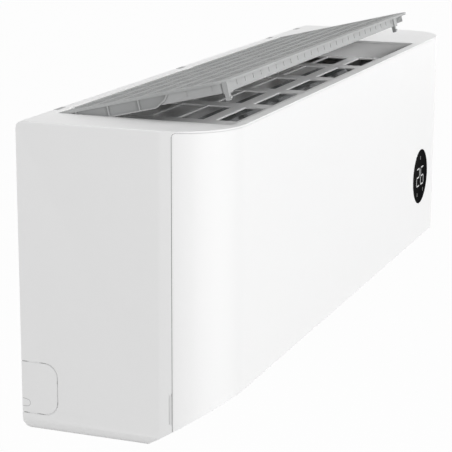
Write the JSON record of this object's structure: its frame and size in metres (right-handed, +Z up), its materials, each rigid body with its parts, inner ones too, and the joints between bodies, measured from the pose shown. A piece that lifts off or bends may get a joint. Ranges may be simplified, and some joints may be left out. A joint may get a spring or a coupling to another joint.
{
  "type": "mini split indoor unit",
  "caption": "Wall-mounted split air conditioner indoor unit with a raised top intake lid, wrap-round front panel, cross-flow fan and outlet vane.",
  "frame": {"origin": "back face of the mounting plate on the wall plane, at the middle of the unit's length and height", "axes": "+X to the right seen from the front, +Y into the wall, +Z up"},
  "size_m": [0.85, 0.209, 0.3496],
  "materials": {
    "white_casing": "fine satin moulded white",
    "white_panel": "smooth semi-gloss white",
    "grey_plastic": "satin moulded grey",
    "dark_plastic": "matte moulded dark grey",
    "filter_mesh": "fine woven plastic net",
    "display_black": "polished black",
    "coil_fins": "stacked thin fins",
    "copper": "drawn copper tube",
    "brass": "machined brass",
    "steel": "zinc-plated steel",
    "pan_foam": "moulded foam and plastic",
    "rubber": "matte rubber",
    "circuit_green": "coated circuit board"
  },
  "bodies": {
    "housing": {"mounting_plate": "steel", "tube_sheet_left": "steel", "tube_sheet_right": "steel", "fan_bearing": "steel", "fan_motor": "steel", "motor_screw_rear": "steel", "motor_screw_front": "steel", "vane_motor": "steel", "casing_screw_left": "steel", "casing_screw_right": "steel", "intake_lattice": "white_casing", "rear_chassis": "white_casing", "outer_casing": "white_casing", "pipe_clamp": "white_casing", "motor_clamp": "white_casing", "control_box": "white_casing", "control_box_lid": "white_casing", "front_panel": "white_panel", "display_window": "display_black", "display_board": "circuit_green", "circuit_board": "circuit_green", "hinge_pin_left": "dark_plastic", "hinge_pin_middle": "dark_plastic", "hinge_pin_right": "dark_plastic", "drain_spout": "dark_plastic", "terminal_block": "dark_plastic", "evaporator_front": "coil_fins", "evaporator_top": "coil_fins", "evaporator_rear": "coil_fins", "gas_pipe": "copper", "liquid_pipe": "copper", "return_bend_1": "copper", "return_bend_2": "copper", "return_bend_3": "copper", "return_bend_4": "copper", "return_bend_5": "copper", "return_bend_6": "copper", "gas_flare_nut": "brass", "liquid_flare_nut": "brass", "drain_pan": "pan_foam", "bearing_holder": "rubber", "drain_plug": "rubber"},
    "lid": {"intake_panel": "grey_plastic", "filter_net": "filter_mesh"},
    "vane": {"outlet_vane": "white_panel"},
    "fan": {"cross_flow_fan": "dark_plastic", "motor_shaft": "steel"},
    "button": {"manual_button": "white_casing"},
    "blade_1": {"air_blade_1": "dark_plastic"},
    "blade_2": {"air_blade_2": "dark_plastic"},
    "blade_3": {"air_blade_3": "dark_plastic"},
    "blade_4": {"air_blade_4": "dark_plastic"},
    "blade_5": {"air_blade_5": "dark_plastic"},
    "blade_6": {"air_blade_6": "dark_plastic"},
    "blade_7": {"air_blade_7": "dark_plastic"},
    "blade_8": {"air_blade_8": "dark_plastic"},
    "blade_9": {"air_blade_9": "dark_plastic"},
    "blade_10": {"air_blade_10": "dark_plastic"},
    "link_left": {"link_bar_left": "dark_plastic"},
    "link_right": {"link_bar_right": "dark_plastic"}
  },
  "joints": [
    {"name": "lid_hinge", "type": "hinge", "parent": "housing", "child": "lid", "pos_m": [0, -0.0195, 0.151], "axis": [-1, 0, 0], "range_deg": [-13.5, 61.5]},
    {"name": "vane_swing", "type": "hinge", "parent": "housing", "child": "vane", "pos_m": [0, -0.13881, -0.1382], "axis": [1, 0, 0], "range_deg": [0, 75]},
    {"name": "fan_spin", "type": "hinge", "parent": "housing", "child": "fan", "pos_m": [0, -0.096, -0.032], "axis": [1, 0, 0], "continuous": true},
    {"name": "button_press", "type": "slide", "parent": "housing", "child": "button", "axis": [0, 0, 1], "range_m": [0, 0.0012], "stiffness_N_per_m": 400, "springref_m": -0.001},
    {"name": "blade_1_swing", "type": "hinge", "parent": "housing", "child": "blade_1", "pos_m": [-0.3, -0.112, -0.1295], "axis": [0, -0.6293, 0.7771], "range_deg": [-35, 35]},
    {"name": "blade_2_swing", "type": "hinge", "parent": "housing", "child": "blade_2", "pos_m": [-0.244, -0.112, -0.1295], "axis": [0, -0.6293, 0.7771], "range_deg": [-35, 35]},
    {"name": "blade_3_swing", "type": "hinge", "parent": "housing", "child": "blade_3", "pos_m": [-0.188, -0.112, -0.1295], "axis": [0, -0.6293, 0.7771], "range_deg": [-35, 35]},
    {"name": "blade_4_swing", "type": "hinge", "parent": "housing", "child": "blade_4", "pos_m": [-0.132, -0.112, -0.1295], "axis": [0, -0.6293, 0.7771], "range_deg": [-35, 35]},
    {"name": "blade_5_swing", "type": "hinge", "parent": "housing", "child": "blade_5", "pos_m": [-0.076, -0.112, -0.1295], "axis": [0, -0.6293, 0.7771], "range_deg": [-35, 35]},
    {"name": "blade_6_swing", "type": "hinge", "parent": "housing", "child": "blade_6", "pos_m": [-0.02, -0.112, -0.1295], "axis": [0, -0.6293, 0.7771], "range_deg": [-35, 35]},
    {"name": "blade_7_swing", "type": "hinge", "parent": "housing", "child": "blade_7", "pos_m": [0.036, -0.112, -0.1295], "axis": [0, -0.6293, 0.7771], "range_deg": [-35, 35]},
    {"name": "blade_8_swing", "type": "hinge", "parent": "housing", "child": "blade_8", "pos_m": [0.092, -0.112, -0.1295], "axis": [0, -0.6293, 0.7771], "range_deg": [-35, 35]},
    {"name": "blade_9_swing", "type": "hinge", "parent": "housing", "child": "blade_9", "pos_m": [0.148, -0.112, -0.1295], "axis": [0, -0.6293, 0.7771], "range_deg": [-35, 35]},
    {"name": "blade_10_swing", "type": "hinge", "parent": "housing", "child": "blade_10", "pos_m": [0.204, -0.112, -0.1295], "axis": [0, -0.6293, 0.7771], "range_deg": [-35, 35]},
    {"name": "link_left_pivot", "type": "hinge", "parent": "blade_1", "child": "link_left", "pos_m": [-0.3, -0.11822, -0.13453], "axis": [0, -0.6293, 0.7771], "range_deg": [-35, 35]},
    {"name": "link_right_pivot", "type": "hinge", "parent": "blade_6", "child": "link_right", "pos_m": [-0.02, -0.11822, -0.13453], "axis": [0, -0.6293, 0.7771], "range_deg": [-35, 35]}
  ],
  "couplings": [
    {"joint": "blade_2_swing", "follows": "blade_1_swing", "ratio": 1},
    {"joint": "blade_3_swing", "follows": "blade_1_swing", "ratio": 1},
    {"joint": "blade_4_swing", "follows": "blade_1_swing", "ratio": 1},
    {"joint": "blade_5_swing", "follows": "blade_1_swing", "ratio": 1},
    {"joint": "blade_7_swing", "follows": "blade_6_swing", "ratio": 1},
    {"joint": "blade_8_swing", "follows": "blade_6_swing", "ratio": 1},
    {"joint": "blade_9_swing", "follows": "blade_6_swing", "ratio": 1},
    {"joint": "blade_10_swing", "follows": "blade_6_swing", "ratio": 1},
    {"joint": "link_left_pivot", "follows": "blade_1_swing", "ratio": -1},
    {"joint": "link_right_pivot", "follows": "blade_6_swing", "ratio": -1}
  ]
}
